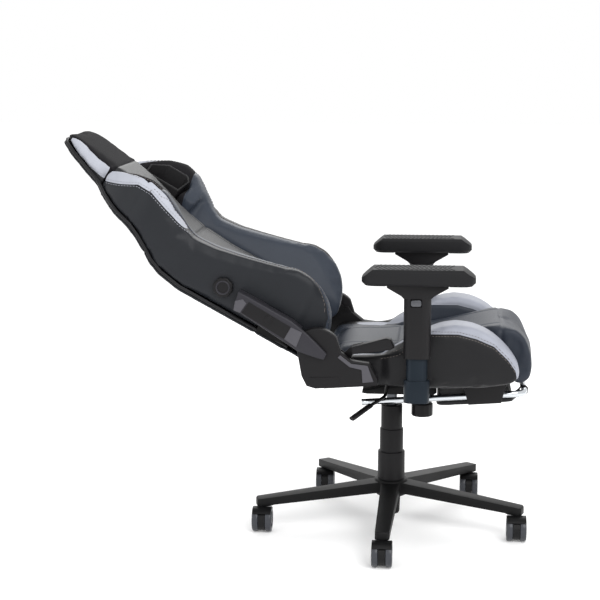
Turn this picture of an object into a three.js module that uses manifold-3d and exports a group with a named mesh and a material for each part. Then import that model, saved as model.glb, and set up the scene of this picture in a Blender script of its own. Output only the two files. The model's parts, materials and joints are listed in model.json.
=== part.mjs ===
// A racing-style gaming chair: five-star base, gas column, tilt mechanism, bucket seat, reclining
// backrest, four-way armrests and a pull-out footrest. Millimetres, +Z up, the sitter faces +X,
// and the sitter's left side is +Y.
import * as THREE from 'three';
import { mergeVertices } from 'three/addons/utils/BufferGeometryUtils.js';
import Module from 'manifold-3d';

const wasm = await Module();
wasm.setup();

// ---- Driving dimensions -------------------------------------------------------------------------
const COLUMN_X = 231; // the column stands here, so that the origin is under the middle of the chair
const COLUMN_Y = 21;
const GAP = 0.3; // clearance between pieces that touch

// base and casters
const ARM_COUNT = 5;
const ARM_TURN = -1.44; // degrees that the base is turned by
const STEM_CIRCLE = 330; // radius of the circle of caster stems
const ARM_WIDTH_HUB = 48;
const ARM_WIDTH_TIP = 34;
const ARM_TOP_HUB = 113;
const ARM_TOP_TIP = 83;
const ARM_DEPTH_HUB = 28;
const ARM_DEPTH_TIP = 16;
const ARM_TIP_REACH = 16; // how far an arm goes on past its stem
const HUB_RADIUS = 42;
const HUB_BOTTOM = 74;
const WHEEL_RADIUS = 30;
const WHEEL_SIDES = 20;
const WHEEL_WIDTH = 15.2;
const FORK_WIDTH = 17; // the caster body between the two wheels
const TRAIL = 17; // from the stem's axis back to the axle
const AXLE_RADIUS = 3;
const STEM_RADIUS = 5.5;
const STEM_LENGTH = 15;

// gas column and its telescopic cover
const CYLINDER_RADIUS = 25;
const CYLINDER_BOTTOM = 24;
const CYLINDER_TOP = 218;
const PISTON_RADIUS = 13;
const PISTON_BOTTOM = 135;
const COVER_HEIGHTS = [115, 186, 245, 306]; // foot, and the top of each section
const COVER_RADII = [9, 4.5, 1.8].map((room) => CYLINDER_RADIUS + room); // lower, middle, upper
const COVER_WALL = 1.2;
const COVER_OVERLAP = 16;

// tilt mechanism
const PIVOT_X = 70; // tilt pivot
const PIVOT_Z = 372;
const PIVOT_RADIUS = 6;
const HOUSING_WIDTH = 124;
const HOUSING_BOTTOM = 345;
const TAPER_BOTTOM = 334; // lower end of the housing's tapered socket for the piston
const CROWN_RADIUS = 26; // the socket's outside, at the housing
const CROWN_BOTTOM = 350; // the crown's shoulder stays under the seat plate at full tilt
const PISTON_TOP = 368;
const KNOB_X = 76; // tilt tension knob
const KNOB_RADIUS = 27;
const KNOB_BOTTOM = 279;
const KNOB_TOP = 311;
const LEVER_X = -12; // gas lever, where it leaves the housing
const LEVER_Z = 363;
const LEVER_RADIUS = 4;

// seat
const SEAT_TILT = 4.4; // degrees, front edge up
const PAN_HEIGHT = 396; // underside of the seat pan above the column
const PAN_THICKNESS = 13;
const PAN_REAR = -172;
const PAN_FRONT = 296;
const PAN_WIDTH = 350;
const SEAT_PAD_WIDTH = 304;
const SEAT_WIDTH = 506; // over both bolsters
const BRACKET_Y = 239; // inner face of the recliner brackets
const PLATE_THICKNESS = 5;
const FOOT_INNER = 140; // the bracket's foot reaches in over the pan to here
const FOOT_THICKNESS = 4.5;
const FOOT_REAR = -150;
const FOOT_FRONT = -40;

// recline hinge
const HINGE_X = -166;
const HINGE_Z = 492;
const RECLINE = 30.4; // the back's slope above horizontal, in degrees
const HINGE_COVER_RADIUS = 56;
const HINGE_PIN_RADIUS = 8;
const HINGE_COVER_INNER = 254;
const HINGE_COVER_OUTER = 278;
const ARM_COVER_OUTER = 290;

// footrest
const RAIL_Y = 150;
const RAIL_RADIUS = 8;
const RAIL_DROP = 46; // from the pan's underside to the rail's axis
const RAIL_REAR = -72;
const RAIL_FRONT = 320;
const FOOTPAD_LENGTH = 190;
const FOOTPAD_WIDTH = 262;
const FOOTPAD_THICKNESS = 13;
const FOOTPAD_DROP = 12; // from the rail's axis to the pad's upper side
const FOOTPAD_SETBACK = 25;

// armrests
const ARMREST_Y = SEAT_WIDTH / 2 + 32; // clear of the bolster's side
const POST_X = 66;
const ARM_SOCKET_SIZE = [60, 36];
const POST_SIZE = [49, 28];
const SLEEVE_SIZE = [63, 38];
const SLEEVE_WALL = 4;
const ARM_SOCKET_BOTTOM = 379;
const BRACKET_TOP = 397;
const ARM_SOCKET_TOP = 432;
const POST_TOP = 560;
const SLEEVE_BOTTOM = 484;
const SLEEVE_TOP = 628;
const FLARE_TOP = 656;
const FLARE_LENGTH = 141;
const TURNTABLE_RADIUS = 28;
const TURNTABLE_THICKNESS = 5;
const SLIDE_SIZE = [80, 58, 4];
const PAD_LENGTH = 260;
const PAD_WIDTH = 98;
const PAD_HEIGHT = 38;
const PAD_X = 68;
const PAD_POCKET = [152, 86, 11];

// backrest, in its own frame: u runs up the back from the hinge, v out of its front
const SHELL_THICKNESS = 8;
const FRAME_RADIUS = 11;
const FRAME_Y = 190;
const FRAME_NECK_Y = 104;
const FRAME_ROOM = SHELL_THICKNESS + 2 * FRAME_RADIUS + 12; // from the shell's rear face to the foam
const BACK_PAD_WIDTH = 266;
const BACK_PAD_WAIST = 296;
const HOLE_BOTTOM = 500; // harness openings
const HOLE_TOP = 610;
const HOLE_OUTER = BACK_PAD_WIDTH / 2 + 59;
const TRIM_WALL = 5;
const LUMBAR_U = 266;
const LUMBAR_V = 13;
const LUMBAR_RADIUS = 24;

const SIDES = { right: -1, left: 1 };
const degrees = (angle) => THREE.MathUtils.degToRad(angle);

// ---- Materials ----------------------------------------------------------------------------------
const finish = (color, roughness, metalness = 0) =>
  new THREE.MeshStandardMaterial({ color, roughness, metalness });
const BLACK_METAL = finish(0x1c1c1e, 0.5, 0.6);
const STEEL = finish(0x303236, 0.45, 0.8);
const CHROME = finish(0xc8ccd0, 0.12, 1);
const PLASTIC = finish(0x252427, 0.5);
const GREY_PLASTIC = finish(0x6d6b70, 0.45);
const WHEEL_RUBBER = finish(0x55575c, 0.55);
const SIDE_LEATHER = finish(0x303338, 0.45);
const CENTRE_LEATHER = finish(0x38393b, 0.5);
const ARM_FOAM = finish(0x2a2b2d, 0.6);
const POST_METAL = finish(0x2f3740, 0.4, 0.5);

// ---- Geometry helpers ---------------------------------------------------------------------------
// Welds a geometry's corners, drops empty triangles and turns its faces outward.
function welded(geometry) {
  const bare = geometry.clone();
  for (const name of Object.keys(bare.attributes)) {
    if (name !== 'position') bare.deleteAttribute(name);
  }
  const joined = mergeVertices(bare, 1e-3);
  const at = joined.attributes.position;
  const corner = (i) => new THREE.Vector3().fromBufferAttribute(at, i);
  const kept = [];
  let volume = 0;
  for (let i = 0; i < joined.index.count; i += 3) {
    const [a, b, c] = [0, 1, 2].map((n) => joined.index.getX(i + n));
    if (a === b || b === c || c === a) continue;
    kept.push(a, b, c);
    volume += corner(a).dot(corner(b).cross(corner(c)));
  }
  if (volume < 0) kept.reverse();
  joined.setIndex(kept);
  return joined;
}

function solid(geometry) {
  const { attributes, index } = welded(geometry);
  const mesh = new wasm.Mesh({
    numProp: 3,
    vertProperties: new Float32Array(attributes.position.array),
    triVerts: new Uint32Array(index.array),
  });
  return new wasm.Manifold(mesh);
}

function geometryOf(manifold) {
  const { vertProperties, triVerts } = manifold.getMesh();
  const geometry = new THREE.BufferGeometry();
  geometry.setAttribute('position', new THREE.BufferAttribute(vertProperties, 3));
  geometry.setIndex(new THREE.BufferAttribute(triVerts, 1));
  return geometry;
}

const join = (first, ...rest) =>
  geometryOf(rest.reduce((sum, next) => sum.add(solid(next)), solid(first)));
const cut = (first, ...tools) =>
  geometryOf(tools.reduce((left, tool) => left.subtract(solid(tool)), solid(first)));
const common = (first, ...rest) =>
  geometryOf(rest.reduce((left, next) => left.intersect(solid(next)), solid(first)));

// An outline in x and z, extruded from y = from to y = to, with rounded rims if bevel is given.
function prism(outline, from, to, bevel = 0) {
  const [low, high] = [Math.min(from, to), Math.max(from, to)];
  const shape = new THREE.Shape(outline.map(([x, z]) => new THREE.Vector2(x, z)));
  const geometry = new THREE.ExtrudeGeometry(shape, {
    depth: high - low - 2 * bevel,
    bevelEnabled: bevel > 0,
    bevelThickness: bevel,
    bevelSize: bevel,
    bevelOffset: -bevel,
    bevelSegments: 1,
  });
  return geometry.rotateX(Math.PI / 2).translate(0, high - bevel, 0);
}

// An outline in x and y, extruded from z = from to z = to.
function slab(outline, from, to, bevel = 0) {
  const shape = new THREE.Shape(outline.map(([x, y]) => new THREE.Vector2(x, y)));
  const geometry = new THREE.ExtrudeGeometry(shape, {
    depth: to - from - 2 * bevel,
    bevelEnabled: bevel > 0,
    bevelThickness: bevel,
    bevelSize: bevel,
    bevelOffset: -bevel,
    bevelSegments: 1,
  });
  return geometry.translate(0, 0, from + bevel);
}

// A profile of [radius, z] points turned about the z axis.
function turned(profile, sides = 32, start = 0) {
  const points = profile.map(([radius, z]) => new THREE.Vector2(radius, z));
  return new THREE.LatheGeometry(points, sides, start).rotateX(Math.PI / 2);
}

// A round bar from one point to another.
function bar(from, to, radius, sides = 16) {
  const [start, end] = [new THREE.Vector3(...from), new THREE.Vector3(...to)];
  const along = end.clone().sub(start);
  const geometry = new THREE.CylinderGeometry(radius, radius, along.length(), sides);
  const turn = new THREE.Quaternion().setFromUnitVectors(
    new THREE.Vector3(0, 1, 0),
    along.clone().normalize(),
  );
  return geometry.applyQuaternion(turn).translate(...start.add(end).multiplyScalar(0.5).toArray());
}

// A round bar bent along a curve, with a section of the given half-sizes.
function bent(curve, radius, steps, sides = 12, flat = radius) {
  const section = new THREE.Shape();
  section.absellipse(0, 0, radius, flat, 0, 2 * Math.PI);
  const points = section.getSpacedPoints(sides).slice(0, sides);
  return new THREE.ExtrudeGeometry(new THREE.Shape(points), { steps, extrudePath: curve });
}

const box = (x0, x1, y0, y1, z0, z1) =>
  new THREE.BoxGeometry(x1 - x0, Math.abs(y1 - y0), z1 - z0).translate(
    (x0 + x1) / 2,
    (y0 + y1) / 2,
    (z0 + z1) / 2,
  );

// A rectangle with round corners, as a list of points about its centre.
function roundRectangle(width, height, radius, steps = 3) {
  const [w, h] = [width / 2 - radius, height / 2 - radius];
  const centres = [[w, h], [-w, h], [-w, -h], [w, -h]];
  return centres.flatMap(([x, y], quarter) =>
    Array.from({ length: steps + 1 }, (_, i) => {
      const angle = ((quarter + i / steps) * Math.PI) / 2;
      return [x + radius * Math.cos(angle), y + radius * Math.sin(angle)];
    }),
  );
}

const shifted = (outline, x, y) => outline.map((point) => [point[0] + x, point[1] + y]);

// A smooth closed outline through the given points.
function smooth(points, count) {
  const curve = new THREE.CatmullRomCurve3(
    points.map(([x, y]) => new THREE.Vector3(x, y, 0)),
    true,
    'centripetal',
  );
  return curve.getSpacedPoints(count).slice(0, count).map((p) => [p.x, p.y]);
}

const chair = new THREE.Group();
chair.position.set(COLUMN_X, COLUMN_Y, 0);

function group(parent, [x, y, z], turn = 0) {
  const made = new THREE.Group();
  made.position.set(x, y, z);
  made.rotation.y = turn;
  parent.add(made);
  return made;
}

function piece(name, geometry, material, parent = chair) {
  const mesh = new THREE.Mesh(welded(geometry), material);
  mesh.name = name;
  parent.add(mesh);
}

// ---- Base and casters ---------------------------------------------------------------------------
const armAngle = (k) => degrees((360 / ARM_COUNT) * k + ARM_TURN - 90);
const armTopAt = (r) => ARM_TOP_HUB + ((ARM_TOP_TIP - ARM_TOP_HUB) * r) / STEM_CIRCLE;
const WHEEL_CLEAR = 2 * WHEEL_RADIUS + 2.8; // the arm ends stay above the wheels

function baseArm() {
  const tip = STEM_CIRCLE + ARM_TIP_REACH;
  const side = prism(
    [
      [0, ARM_TOP_HUB - ARM_DEPTH_HUB],
      [0, ARM_TOP_HUB],
      [tip - 3, armTopAt(tip)],
      [tip, armTopAt(tip) - 3],
      [tip, WHEEL_CLEAR],
      [STEM_CIRCLE - ARM_TIP_REACH, WHEEL_CLEAR],
      [STEM_CIRCLE - ARM_TIP_REACH - 8, armTopAt(tip) - ARM_DEPTH_TIP],
    ],
    -ARM_WIDTH_HUB,
    ARM_WIDTH_HUB,
  );
  const plan = slab(
    [
      [0, -ARM_WIDTH_HUB / 2],
      [tip - 6, -ARM_WIDTH_TIP / 2],
      [tip, -ARM_WIDTH_TIP / 2 + 6],
      [tip, ARM_WIDTH_TIP / 2 - 6],
      [tip - 6, ARM_WIDTH_TIP / 2],
      [0, ARM_WIDTH_HUB / 2],
    ],
    WHEEL_CLEAR - 10,
    ARM_TOP_HUB + 10,
  );
  const socket = bar(
    [STEM_CIRCLE, 0, WHEEL_CLEAR - 5],
    [STEM_CIRCLE, 0, WHEEL_CLEAR + STEM_LENGTH + 1],
    STEM_RADIUS + 2 * GAP,
  );
  return cut(common(side, plan), socket);
}

const cylinderProfile = (clearance) => [
  [0, CYLINDER_BOTTOM],
  [20 + clearance, CYLINDER_BOTTOM],
  [22 + clearance, CYLINDER_BOTTOM + 4],
  [CYLINDER_RADIUS - 1 + clearance, HUB_BOTTOM],
  [CYLINDER_RADIUS + clearance, COVER_HEIGHTS[0] + 3],
  [CYLINDER_RADIUS + clearance, CYLINDER_TOP],
];

function starBase() {
  const hub = turned([
    [0, HUB_BOTTOM],
    [HUB_RADIUS - 4, HUB_BOTTOM],
    [HUB_RADIUS, HUB_BOTTOM + 6],
    [HUB_RADIUS, COVER_HEIGHTS[0] - GAP - 3],
    [HUB_RADIUS - 3, COVER_HEIGHTS[0] - GAP],
    [0, COVER_HEIGHTS[0] - GAP],
  ]);
  const arms = Array.from({ length: ARM_COUNT }, (_, k) => baseArm().rotateZ(armAngle(k)));
  const bore = turned([...cylinderProfile(GAP), [0, CYLINDER_TOP]], 24);
  return cut(join(hub, ...arms), bore);
}

function casterHood() {
  const half = FORK_WIDTH / 2 - GAP;
  const disc = bar([-half, -TRAIL, WHEEL_RADIUS], [half, -TRAIL, WHEEL_RADIUS], WHEEL_RADIUS - 3, 24);
  const boss = prism(
    [[-4, WHEEL_RADIUS], [half, WHEEL_RADIUS + 6], [half, WHEEL_CLEAR - GAP], [-4, WHEEL_CLEAR - GAP]],
    -half,
    half,
  ).rotateZ(Math.PI / 2);
  const stem = bar([0, 0, WHEEL_RADIUS], [0, 0, WHEEL_CLEAR + STEM_LENGTH], STEM_RADIUS);
  const bore = bar(
    [-FORK_WIDTH, -TRAIL, WHEEL_RADIUS],
    [FORK_WIDTH, -TRAIL, WHEEL_RADIUS],
    AXLE_RADIUS + 2 * GAP,
  );
  return cut(join(disc, boss, stem), bore);
}

// One wheel, its axis along x; the left one carries the axle, the right one is pressed on it.
function wheel(side) {
  const corner = WHEEL_RADIUS / Math.cos(Math.PI / WHEEL_SIDES);
  const inner = FORK_WIDTH / 2 + GAP;
  const outer = inner + WHEEL_WIDTH;
  const rim = [
    [corner - 4, outer],
    [corner, outer - 3],
    [corner, inner + 3],
    [corner - 3, inner],
  ];
  const profile = side > 0
    ? [[AXLE_RADIUS + GAP, outer], ...rim, [AXLE_RADIUS + GAP, inner], [AXLE_RADIUS + GAP, outer]]
    : [[0, outer], ...rim, [AXLE_RADIUS, inner], [AXLE_RADIUS, 2 - outer], [0, 2 - outer]];
  const points = profile.map(([r, a]) => new THREE.Vector2(r, a * side));
  return new THREE.LatheGeometry(points, WHEEL_SIDES, Math.PI / WHEEL_SIDES)
    .rotateZ(-Math.PI / 2)
    .translate(0, -TRAIL, WHEEL_RADIUS);
}

piece('star_base', starBase(), BLACK_METAL);
for (let k = 0; k < ARM_COUNT; k += 1) {
  const [x, y] = [Math.cos(armAngle(k)) * STEM_CIRCLE, Math.sin(armAngle(k)) * STEM_CIRCLE];
  const caster = group(chair, [x, y, 0]);
  piece(`caster_${k + 1}_hood`, casterHood(), PLASTIC, caster);
  piece(`caster_${k + 1}_wheel_left`, wheel(-1), WHEEL_RUBBER, caster);
  piece(`caster_${k + 1}_wheel_right`, wheel(1), WHEEL_RUBBER, caster);
}

// ---- Gas column ---------------------------------------------------------------------------------
function gasCylinder() {
  const bore = PISTON_RADIUS + 2 * GAP;
  return turned(
    [...cylinderProfile(0), [bore, CYLINDER_TOP], [bore, CYLINDER_BOTTOM + 16], [0, CYLINDER_BOTTOM + 16]],
    24,
  );
}

// One section of the telescopic cover: a thin tube with a lip that reaches in at its top.
function coverSection(n, lipRadius) {
  const radius = COVER_RADII[n];
  const bottom = COVER_HEIGHTS[n] - (n > 0 ? COVER_OVERLAP : 0);
  const top = COVER_HEIGHTS[n + 1];
  const bore = radius - COVER_WALL;
  return turned([
    [bore, bottom],
    [radius, bottom],
    [radius, top - 1],
    [radius - 1, top],
    [lipRadius, top],
    [lipRadius, top - 3],
    [bore, top - 3],
    [bore, bottom],
  ], 24);
}

function gasPiston() {
  return turned(
    [
      [0, PISTON_BOTTOM],
      [PISTON_RADIUS, PISTON_BOTTOM],
      [PISTON_RADIUS, TAPER_BOTTOM],
      [PISTON_RADIUS - 1, PISTON_TOP],
      [0, PISTON_TOP],
    ],
    24,
  );
}

piece('gas_cylinder', gasCylinder(), BLACK_METAL);
piece('cover_lower', coverSection(0, COVER_RADII[1] + 2 * GAP), PLASTIC);
piece('cover_middle', coverSection(1, COVER_RADII[2] + 2 * GAP), PLASTIC);
piece('cover_upper', coverSection(2, PISTON_RADIUS + GAP), PLASTIC);
piece('gas_piston', gasPiston(), STEEL);

// ---- Tilt mechanism -----------------------------------------------------------------------------
function mechHousing() {
  const half = HOUSING_WIDTH / 2;
  const shell = prism(
    [
      [-72, HOUSING_BOTTOM + 2],
      [-60, HOUSING_BOTTOM],
      [104, HOUSING_BOTTOM],
      [112, HOUSING_BOTTOM + 6],
      [112, PIVOT_Z + 6],
      [PIVOT_X + 10, PIVOT_Z + 10],
      [PIVOT_X - 20, PIVOT_Z + 6],
      [-72, HOUSING_BOTTOM + 7],
    ],
    -half,
    half,
  );
  const crown = turned(
    [
      [0, CROWN_BOTTOM],
      [CROWN_RADIUS, CROWN_BOTTOM],
      [CROWN_RADIUS, PISTON_TOP - 3],
      [CROWN_RADIUS - 10, PISTON_TOP + 3],
      [0, PISTON_TOP + 3],
    ],
    24,
  );
  const socket = turned(
    [
      [0, TAPER_BOTTOM],
      [PISTON_RADIUS + 4, TAPER_BOTTOM],
      [PISTON_RADIUS + 6, HOUSING_BOTTOM],
      [CROWN_RADIUS, CROWN_BOTTOM + 2],
      [0, CROWN_BOTTOM + 2],
    ],
    24,
  );
  const pivot = bar([PIVOT_X, -half - 16, PIVOT_Z], [PIVOT_X, half + 16, PIVOT_Z], PIVOT_RADIUS);
  const springCup = bar(
    [KNOB_X, 0, KNOB_TOP + 2 * GAP],
    [KNOB_X, 0, HOUSING_BOTTOM + 5],
    KNOB_RADIUS - 4,
    20,
  );
  const pistonBore = bar([0, 0, TAPER_BOTTOM - 10], [0, 0, PISTON_TOP + GAP], PISTON_RADIUS + 2 * GAP, 24);
  const screwBore = bar([KNOB_X, 0, KNOB_TOP - 5], [KNOB_X, 0, KNOB_TOP + 20], 5 + 2 * GAP);
  const leverBore = bar(
    [LEVER_X, -half - 5, LEVER_Z],
    [LEVER_X, -half + 12, LEVER_Z],
    LEVER_RADIUS + 2 * GAP,
  );
  return cut(join(shell, crown, socket, pivot, springCup), pistonBore, screwBore, leverBore);
}

function tensionKnob() {
  const corners = 28;
  const outline = Array.from({ length: corners }, (_, i) => {
    const angle = (i / corners) * 2 * Math.PI;
    const radius = KNOB_RADIUS - (i % 2 === 0 ? 0 : 1.2);
    return [radius * Math.cos(angle), radius * Math.sin(angle)];
  });
  const grip = slab(outline, KNOB_BOTTOM, KNOB_TOP, 1.5);
  const screw = bar([0, 0, KNOB_TOP - 5], [0, 0, KNOB_TOP + 18], 5);
  return join(grip, screw).translate(KNOB_X, 0, 0);
}

// A round rod out to the right, bent back and down into a flat paddle.
function liftLever() {
  const y = -HOUSING_WIDTH / 2;
  const points = [
    [LEVER_X, y + 10, LEVER_Z],
    [LEVER_X, y - 20, LEVER_Z],
    [LEVER_X, y - 95, LEVER_Z],
    [LEVER_X - 8, y - 117, LEVER_Z - 3],
    [LEVER_X - 34, y - 145, LEVER_Z - 14],
  ];
  const curve = new THREE.CatmullRomCurve3(points.map((p) => new THREE.Vector3(...p)));
  const rod = bent(curve, LEVER_RADIUS, 14, 10);
  const start = new THREE.Vector3(...points[4]).add(new THREE.Vector3(2, 3, 1));
  const end = new THREE.Vector3(LEVER_X - 74, y - 188, LEVER_Z - 36);
  return join(rod, bent(new THREE.LineCurve3(start, end), 5, 2, 12, 9));
}

piece('mech_housing', mechHousing(), BLACK_METAL);
piece('tension_knob', tensionKnob(), PLASTIC);
piece('lift_lever', liftLever(), PLASTIC);

// ---- Seat: the pan's frame lies along its underside, tilted with it -------------------------------
const pan = group(chair, [0, 0, PAN_HEIGHT], -degrees(SEAT_TILT));
const tilt = degrees(SEAT_TILT);
// Turns a point of the chair's side view into the tilted frame of the pan.
function onPan(x, z) {
  const height = z - PAN_HEIGHT;
  return [
    x * Math.cos(tilt) + height * Math.sin(tilt),
    height * Math.cos(tilt) - x * Math.sin(tilt),
  ];
}
const [pivotU, pivotV] = onPan(PIVOT_X, PIVOT_Z);

function seatPlate() {
  const half = HOUSING_WIDTH / 2 + 4;
  const plate = box(-92, 124, -96, 96, -4.3, -GAP);
  const ears = [-1, 1].map((side) =>
    prism(
      [[pivotU - 30, -4], [pivotU - 14, pivotV - 12], [pivotU + 14, pivotV - 12], [pivotU + 30, -4]],
      side * half,
      side * (half + 4),
    ),
  );
  const bores = [-1, 1].map((side) =>
    bar(
      [pivotU, side * (half - 2), pivotV],
      [pivotU, side * (half + 8), pivotV],
      PIVOT_RADIUS + 2 * GAP,
    ),
  );
  return cut(join(plate, ...ears), ...bores);
}

const panHalf = PAN_WIDTH / 2;
function panPlan(grow = 0) {
  const corner = 20;
  const [rear, front, half] = [PAN_REAR - grow, PAN_FRONT + grow, panHalf + grow];
  return [
    [rear, -half + corner],
    [rear + corner, -half],
    [front - corner, -half],
    [front, -half + corner],
    [front, half - corner],
    [front - corner, half],
    [rear + corner, half],
    [rear, half - corner],
  ];
}

piece('seat_plate', seatPlate(), STEEL, pan);
piece('seat_pan', slab(panPlan(), 0, PAN_THICKNESS, 2), STEEL, pan);

// Carries a geometry from the pan's frame into the chair's.
const fromPan = (geometry) => geometry.rotateY(-tilt).translate(0, 0, PAN_HEIGHT);

// room under the foam for the pan and the feet of the recliner brackets
function panRoom() {
  const room = slab(panPlan(2 * GAP), -60, PAN_THICKNESS + GAP);
  const top = PAN_THICKNESS + FOOT_THICKNESS + 2 * GAP;
  const feet = [-1, 1].map((side) =>
    box(FOOT_REAR - 2, FOOT_FRONT + 2, side * (FOOT_INNER - 2), side * SEAT_WIDTH, -20, top),
  );
  return fromPan(join(room, ...feet));
}

const SEAT_PAD_SIDE = [
  [-160, 396],
  [-164, 430],
  [-156, 462],
  [-120, 474],
  [0, 480],
  [100, 496],
  [200, 519],
  [268, 532],
  [304, 529],
  [328, 506],
  [340, 468],
  [345, 440],
  [342, 412],
  [328, 392],
  [306, 394],
  [250, 398],
  [0, 380],
];

function seatPad() {
  const half = SEAT_PAD_WIDTH / 2;
  return cut(prism(smooth(SEAT_PAD_SIDE, 44), -half, half, 6), panRoom());
}

const SEAT_BOLSTER_SIDE = [
  [-158, 402],
  [-168, 436],
  [-152, 468],
  [-93, 476],
  [-28, 479],
  [22, 500],
  [90, 542],
  [146, 558],
  [190, 554],
  [232, 537],
  [268, 508],
  [298, 470],
  [310, 440],
  [300, 420],
  [268, 410],
  [190, 401],
  [100, 399],
  [0, 402],
];

function seatBolster(side) {
  const inner = SEAT_PAD_WIDTH / 2 + 2;
  const outer = SEAT_WIDTH / 2;
  const body = prism(smooth(SEAT_BOLSTER_SIDE, 44), side * inner, side * outer, 8);
  // the recliner bracket stands against the rear end of the side
  const bracketRoom = box(-200, -6, side * (BRACKET_Y - 2), side * (outer + 5), 380, 500);
  return cut(body, panRoom(), bracketRoom);
}

piece('seat_pad', seatPad(), CENTRE_LEATHER);
for (const [name, side] of Object.entries(SIDES)) {
  piece(`seat_bolster_${name}`, seatBolster(side), SIDE_LEATHER);
}

// ---- Recline hinge ------------------------------------------------------------------------------
const arc = (x, z, radius, from, to, steps) =>
  Array.from({ length: steps + 1 }, (_, i) => {
    const angle = degrees(from + ((to - from) * i) / steps);
    return [x + radius * Math.cos(angle), z + radius * Math.sin(angle)];
  });

// A steel plate that carries the hinge, with a foot on the pan and a fin in front of the hinge.
function reclinerBracket(side) {
  const plate = prism(
    [
      [-186, 410],
      [FOOT_REAR - 2, 397.5],
      [FOOT_FRONT + 2, 406],
      [-34, 432],
      [-90, 475],
      [-117, 496],
      [-127, 512],
      [-138, 512],
      ...arc(HINGE_X, HINGE_Z, 34, 20, 180, 8),
    ],
    side * BRACKET_Y,
    side * (BRACKET_Y + PLATE_THICKNESS),
  );
  const level = PAN_THICKNESS + GAP;
  const foot = fromPan(
    box(
      FOOT_REAR,
      FOOT_FRONT,
      side * FOOT_INNER,
      side * (BRACKET_Y + 2),
      level,
      level + FOOT_THICKNESS,
    ),
  );
  const bore = bar(
    [HINGE_X, side * (BRACKET_Y - 3), HINGE_Z],
    [HINGE_X, side * (BRACKET_Y + 9), HINGE_Z],
    HINGE_PIN_RADIUS + 1,
    20,
  );
  return cut(join(plate, foot), bore);
}

function hingeCover(side) {
  const outline = [
    [-212, 485],
    [-203, 434],
    [-191, 410],
    [-170, 404],
    [-24, 415],
    [-24, 429],
    [-45, 467],
    [-86, 472],
    [-111, 492],
    ...arc(HINGE_X, HINGE_Z, HINGE_COVER_RADIUS, 38, 150, 10),
  ];
  const [inner, outer] = [side * HINGE_COVER_INNER, side * HINGE_COVER_OUTER];
  const pinRoom = bar([HINGE_X, inner - 2 * side, HINGE_Z], [HINGE_X, inner + 8 * side, HINGE_Z], 12, 20);
  return cut(prism(outline, inner, outer, 2), pinRoom);
}

const LEVER_PIVOT = [-106, 470];

// The recline lever: a tapered handle on a flat shank that turns beside the bracket.
function reclineLever() {
  const y = -BRACKET_Y - PLATE_THICKNESS - 2;
  const handle = prism(
    [[-84, 490], [-86, 506], [-6, 529], [6, 526], [14, 508], [6, 502], [-40, 494]],
    -HINGE_COVER_INNER - 8,
    -HINGE_COVER_OUTER - 10,
    3,
  );
  const shank = prism(
    [[-116, 464], [-110, 480], [-84, 506], [-60, 512], [-60, 494], [-80, 488], [-98, 462]],
    y,
    y - 5,
  );
  const stub = prism([[-82, 492], [-82, 505], [-62, 509], [-62, 495]], y - 4, -HINGE_COVER_INNER - 14);
  return join(handle, shank, stub);
}

for (const [name, side] of Object.entries(SIDES)) {
  piece(`recliner_bracket_${name}`, reclinerBracket(side), BLACK_METAL);
  piece(`hinge_cover_${name}`, hingeCover(side), PLASTIC);
}
piece('recline_lever', reclineLever(), PLASTIC);

// ---- Footrest -----------------------------------------------------------------------------------
function footrestFrame() {
  const z = -RAIL_DROP;
  const bend = 24;
  const path = new THREE.CurvePath();
  const corner = (x, y) => new THREE.Vector3(x, y, z);
  path.add(new THREE.LineCurve3(corner(RAIL_REAR, -RAIL_Y), corner(RAIL_FRONT - bend, -RAIL_Y)));
  path.add(
    new THREE.QuadraticBezierCurve3(
      corner(RAIL_FRONT - bend, -RAIL_Y),
      corner(RAIL_FRONT, -RAIL_Y),
      corner(RAIL_FRONT, -RAIL_Y + bend),
    ),
  );
  path.add(
    new THREE.LineCurve3(corner(RAIL_FRONT, -RAIL_Y + bend), corner(RAIL_FRONT, RAIL_Y - bend)),
  );
  path.add(
    new THREE.QuadraticBezierCurve3(
      corner(RAIL_FRONT, RAIL_Y - bend),
      corner(RAIL_FRONT, RAIL_Y),
      corner(RAIL_FRONT - bend, RAIL_Y),
    ),
  );
  path.add(new THREE.LineCurve3(corner(RAIL_FRONT - bend, RAIL_Y), corner(RAIL_REAR, RAIL_Y)));
  return bent(path, RAIL_RADIUS, 44, 10);
}

function footrestGuide(side) {
  const sleeve = prism(
    [
      [172, -GAP - 6],
      [184, -RAIL_DROP - 18],
      [262, -RAIL_DROP - 18],
      [282, -GAP - 6],
      [282, -GAP],
      [172, -GAP],
    ],
    side * (RAIL_Y - 14),
    side * (RAIL_Y + 14),
    1,
  );
  const bore = bar(
    [100, side * RAIL_Y, -RAIL_DROP],
    [350, side * RAIL_Y, -RAIL_DROP],
    RAIL_RADIUS + 3 * GAP,
    12,
  );
  return cut(sleeve, bore);
}

function footrestPad() {
  const front = RAIL_FRONT - FOOTPAD_SETBACK;
  const top = -RAIL_DROP - FOOTPAD_DROP;
  const outline = roundRectangle(FOOTPAD_LENGTH, FOOTPAD_WIDTH, 18);
  const board = slab(
    shifted(outline, front - FOOTPAD_LENGTH / 2, 0),
    top - FOOTPAD_THICKNESS,
    top,
    3,
  );
  const lugs = [-1, 1].map((side) =>
    prism(
      [
        ...arc(RAIL_FRONT, -RAIL_DROP, RAIL_RADIUS + 6, -60, 150, 8),
        [front - 14, top - 4],
        [front - 14, top - FOOTPAD_THICKNESS + 2],
        [front, top - FOOTPAD_THICKNESS + 2],
      ],
      side * (FOOTPAD_WIDTH / 2 - 30),
      side * (FOOTPAD_WIDTH / 2 - 22),
    ),
  );
  const tubeRoom = bar(
    [RAIL_FRONT, -RAIL_Y, -RAIL_DROP],
    [RAIL_FRONT, RAIL_Y, -RAIL_DROP],
    RAIL_RADIUS + 3 * GAP,
    12,
  );
  return cut(join(board, ...lugs), tubeRoom);
}

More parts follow.
